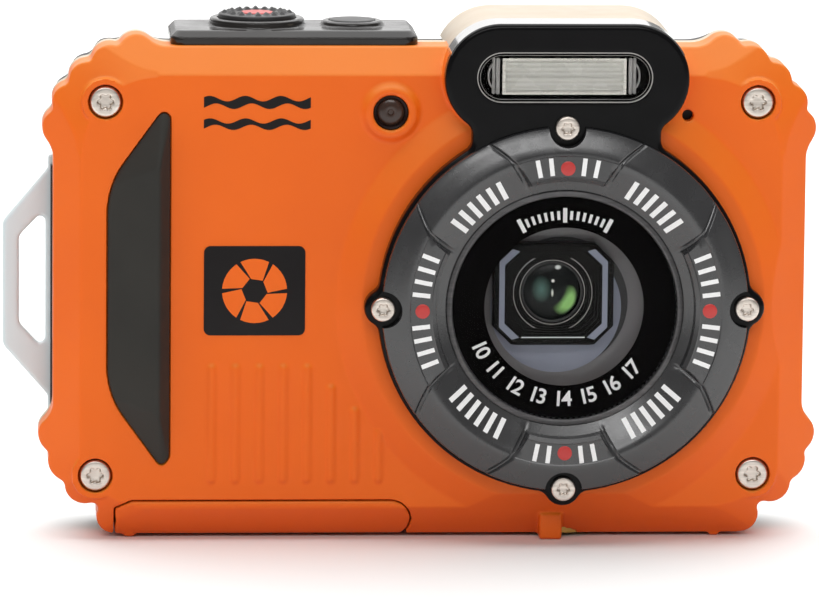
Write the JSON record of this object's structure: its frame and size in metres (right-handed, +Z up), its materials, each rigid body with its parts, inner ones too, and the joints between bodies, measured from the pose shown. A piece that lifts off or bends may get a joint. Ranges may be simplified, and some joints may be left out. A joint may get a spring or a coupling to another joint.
{
  "type": "waterproof compact camera",
  "caption": "Rugged waterproof compact camera with scalloped corners, round lens surround, flash hump, rubber grip, strap lug and bottom door.",
  "frame": {"origin": "centre of the tripod socket mouth on the base, under the lens axis", "axes": "+X to the right as seen from the front, +Y from the front to the back, +Z up"},
  "size_m": [0.1108, 0.0278, 0.0713],
  "materials": {
    "orange_shell": "moulded satin plastic, bright orange",
    "frame_silver": "satin light grey frame",
    "back_dark": "fine textured dark grey plastic",
    "soft_black": "matt black soft rubber",
    "bezel_black": "gloss black plastic",
    "ring_grey": "satin dark grey plastic",
    "steel": "bright machined steel",
    "trim_metal": "bright turned ring",
    "clear_glass": "clear coated glass",
    "lens_glass": "green-coated glass",
    "lamp_glass": "smoked lens",
    "inner_black": "matt black inner plastic",
    "reflector": "bright reflector",
    "panel_black": "satin black plastic",
    "button_black": "textured black button",
    "cap_red": "red insert",
    "lug_silver": "silver satin metal",
    "brass": "plain brass insert",
    "board_green": "circuit board",
    "cell_grey": "battery wrap",
    "card_blue": "memory card",
    "sensor_dark": "image sensor",
    "screen_glass": "dark screen glass",
    "screen_black": "display panel",
    "gold": "plated contacts",
    "can_grey": "plain metal can"
  },
  "bodies": {
    "camera": {"front_shell": "orange_shell", "mid_frame": "frame_silver", "back_shell": "back_dark", "body_gasket": "soft_black", "grip_insert": "soft_black", "corner_screws": "steel", "lens_bezel": "bezel_black", "lens_ring": "ring_grey", "ring_screws": "steel", "window_trim": "trim_metal", "lens_window": "clear_glass", "window_seal": "soft_black", "lens_baffle": "inner_black", "front_element": "lens_glass", "prism": "clear_glass", "lens_housing": "inner_black", "guide_rods": "steel", "image_sensor": "sensor_dark", "zoom_motor": "can_grey", "focus_motor": "can_grey", "flash_window": "clear_glass", "flash_reflector": "reflector", "flash_tube": "clear_glass", "flash_capacitor": "can_grey", "af_lamp_lens": "lamp_glass", "microphone": "can_grey", "speaker": "can_grey", "top_panel": "panel_black", "strap_lug": "lug_silver", "tripod_socket": "brass", "battery_bay": "inner_black", "battery": "cell_grey", "battery_contacts": "gold", "memory_card": "card_blue", "usb_port": "can_grey", "main_board": "board_green", "key_board": "board_green", "lcd_window": "screen_glass", "lcd_panel": "screen_black"},
    "battery_door": {"battery_door": "orange_shell", "door_gasket": "soft_black", "door_hinge_pin": "steel"},
    "door_latch": {"door_latch": "back_dark"},
    "shutter_button": {"shutter_button": "button_black", "shutter_cap": "cap_red"},
    "power_button": {"power_button": "button_black"},
    "zoom_rocker": {"zoom_rocker": "button_black"},
    "zoom_group": {"zoom_group": "inner_black"},
    "focus_group": {"focus_group": "inner_black"},
    "zoom_screw": {"zoom_screw": "steel"},
    "focus_screw": {"focus_screw": "steel"},
    "up_key": {"up_key": "button_black"},
    "down_key": {"down_key": "button_black"},
    "left_key": {"left_key": "button_black"},
    "right_key": {"right_key": "button_black"},
    "set_key": {"set_key": "button_black"},
    "record_key": {"record_key": "button_black"},
    "play_key": {"play_key": "button_black"},
    "menu_key": {"menu_key": "button_black"},
    "delete_key": {"delete_key": "button_black"}
  },
  "joints": [
    {"name": "door_hinge", "type": "hinge", "parent": "camera", "child": "battery_door", "pos_m": [-0.0231, 0.001, 0.0022], "axis": [0, -1, 0], "range_deg": [0, 90]},
    {"name": "latch_slide", "type": "slide", "parent": "battery_door", "child": "door_latch", "axis": [1, 0, 0], "range_m": [0, 0.003]},
    {"name": "shutter_press", "type": "slide", "parent": "camera", "child": "shutter_button", "axis": [0, 0, -1], "range_m": [0, 0.001], "stiffness_N_per_m": 1200},
    {"name": "power_press", "type": "slide", "parent": "camera", "child": "power_button", "axis": [0, 0, -1], "range_m": [0, 0.0005], "stiffness_N_per_m": 2000},
    {"name": "rocker_tilt", "type": "hinge", "parent": "camera", "child": "zoom_rocker", "pos_m": [-0.0484, 0.0106, 0.052], "axis": [0, 0, 1], "range_deg": [-4, 4], "stiffness_Nm_per_rad": 0.07},
    {"name": "up_press", "type": "slide", "parent": "camera", "child": "up_key", "axis": [0, -1, 0], "range_m": [0, 0.0004], "stiffness_N_per_m": 2500},
    {"name": "down_press", "type": "slide", "parent": "camera", "child": "down_key", "axis": [0, -1, 0], "range_m": [0, 0.0004], "stiffness_N_per_m": 2500},
    {"name": "left_press", "type": "slide", "parent": "camera", "child": "left_key", "axis": [0, -1, 0], "range_m": [0, 0.0004], "stiffness_N_per_m": 2500},
    {"name": "right_press", "type": "slide", "parent": "camera", "child": "right_key", "axis": [0, -1, 0], "range_m": [0, 0.0004], "stiffness_N_per_m": 2500},
    {"name": "set_press", "type": "slide", "parent": "camera", "child": "set_key", "axis": [0, -1, 0], "range_m": [0, 0.0004], "stiffness_N_per_m": 2500},
    {"name": "record_press", "type": "slide", "parent": "camera", "child": "record_key", "axis": [0, -1, 0], "range_m": [0, 0.0004], "stiffness_N_per_m": 2500},
    {"name": "play_press", "type": "slide", "parent": "camera", "child": "play_key", "axis": [0, -1, 0], "range_m": [0, 0.0004], "stiffness_N_per_m": 2500},
    {"name": "menu_press", "type": "slide", "parent": "camera", "child": "menu_key", "axis": [0, -1, 0], "range_m": [0, 0.0004], "stiffness_N_per_m": 2500},
    {"name": "delete_press", "type": "slide", "parent": "camera", "child": "delete_key", "axis": [0, -1, 0], "range_m": [0, 0.0004], "stiffness_N_per_m": 2500},
    {"name": "zoom_drive", "type": "hinge", "parent": "camera", "child": "zoom_screw", "pos_m": [0.0127, -0.001, 0.0247], "axis": [1, 0, 0], "range_deg": [0, 1440.1]},
    {"name": "focus_drive", "type": "hinge", "parent": "camera", "child": "focus_screw", "pos_m": [0.0127, -0.001, 0.0423], "axis": [1, 0, 0], "range_deg": [0, 720.1]},
    {"name": "zoom_travel", "type": "slide", "parent": "camera", "child": "zoom_group", "axis": [1, 0, 0], "range_m": [0, 0.006]},
    {"name": "focus_travel", "type": "slide", "parent": "camera", "child": "focus_group", "axis": [1, 0, 0], "range_m": [0, 0.003]}
  ],
  "couplings": [
    {"joint": "zoom_drive", "follows": "zoom_travel", "rad_per_m": 4188.8},
    {"joint": "focus_drive", "follows": "focus_travel", "rad_per_m": 4188.8}
  ]
}
